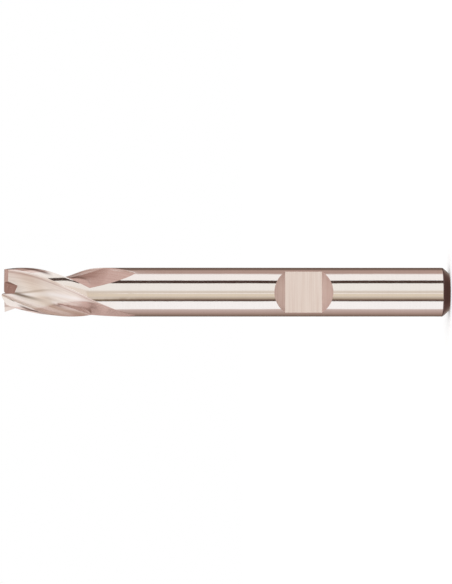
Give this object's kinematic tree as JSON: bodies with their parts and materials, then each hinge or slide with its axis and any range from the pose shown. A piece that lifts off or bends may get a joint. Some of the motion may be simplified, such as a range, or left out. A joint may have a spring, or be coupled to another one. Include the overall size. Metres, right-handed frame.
{
  "type": "slot drill",
  "caption": "Short end mill that can plunge: helical flutes and end teeth at one end, a straight round shank with one clamping flat at the other.",
  "frame": {"origin": "centre of the flat shank end, on which the tool stands", "axes": "+Z along the tool's axis from the shank end to the cutting teeth; -Y out of the clamping flat; +X square to both"},
  "size_m": [0.006, 0.006, 0.0548],
  "materials": {
    "ground_steel": "ground high-speed steel, uncoated"
  },
  "bodies": {
    "root": {"slot_drill": "ground_steel"}
  },
  "joints": []
}
